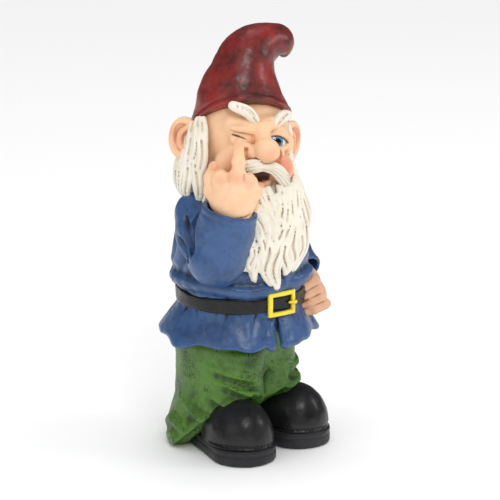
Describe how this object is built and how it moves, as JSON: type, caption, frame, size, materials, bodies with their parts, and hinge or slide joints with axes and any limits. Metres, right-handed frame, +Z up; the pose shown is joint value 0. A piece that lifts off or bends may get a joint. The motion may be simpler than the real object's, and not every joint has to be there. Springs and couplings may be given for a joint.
{
  "type": "garden gnome",
  "caption": "Standing garden gnome ornament: bearded figure with a bent pointed hat, belted jacket, one hand raised in a gesture and the other at the hip, in chunky boots.",
  "frame": {"origin": "middle of the bounding box's base, on the surface that the soles rest on", "axes": "+Z up, the gnome faces -Y, and its own left side is +X"},
  "size_m": [0.146, 0.1264, 0.3396],
  "materials": {
    "sole_black": "charcoal black paint on cast resin, satin",
    "boot_black": "black paint on cast resin, semi-gloss",
    "trouser_green": "mid green paint with a dark stipple and wash",
    "jacket_blue": "medium blue paint with a dark wash, satin varnish",
    "belt_black": "black paint, glossy",
    "buckle_yellow": "bright yellow paint, glossy",
    "skin": "peach paint with a brown wash and pink blush, satin",
    "eye_white": "painted eye with a blue iris, glossy",
    "hair_ivory": "ivory paint with an ochre wash in the grooves",
    "hat_red": "deep mottled red paint, glossy varnish"
  },
  "bodies": {
    "root": {"beard": "hair_ivory", "belt": "belt_black", "buckle_frame": "buckle_yellow", "buckle_prong": "buckle_yellow", "hair": "hair_ivory", "hat": "hat_red", "head": "skin", "jacket": "jacket_blue", "left_boot": "boot_black", "left_ear": "skin", "left_eyeball": "eye_white", "left_eyebrow": "hair_ivory", "left_hand": "skin", "left_sleeve": "jacket_blue", "left_sole": "sole_black", "moustache": "hair_ivory", "right_boot": "boot_black", "right_ear": "skin", "right_eyebrow": "hair_ivory", "right_hand": "skin", "right_sleeve": "jacket_blue", "right_sole": "sole_black", "trousers": "trouser_green"}
  },
  "joints": []
}
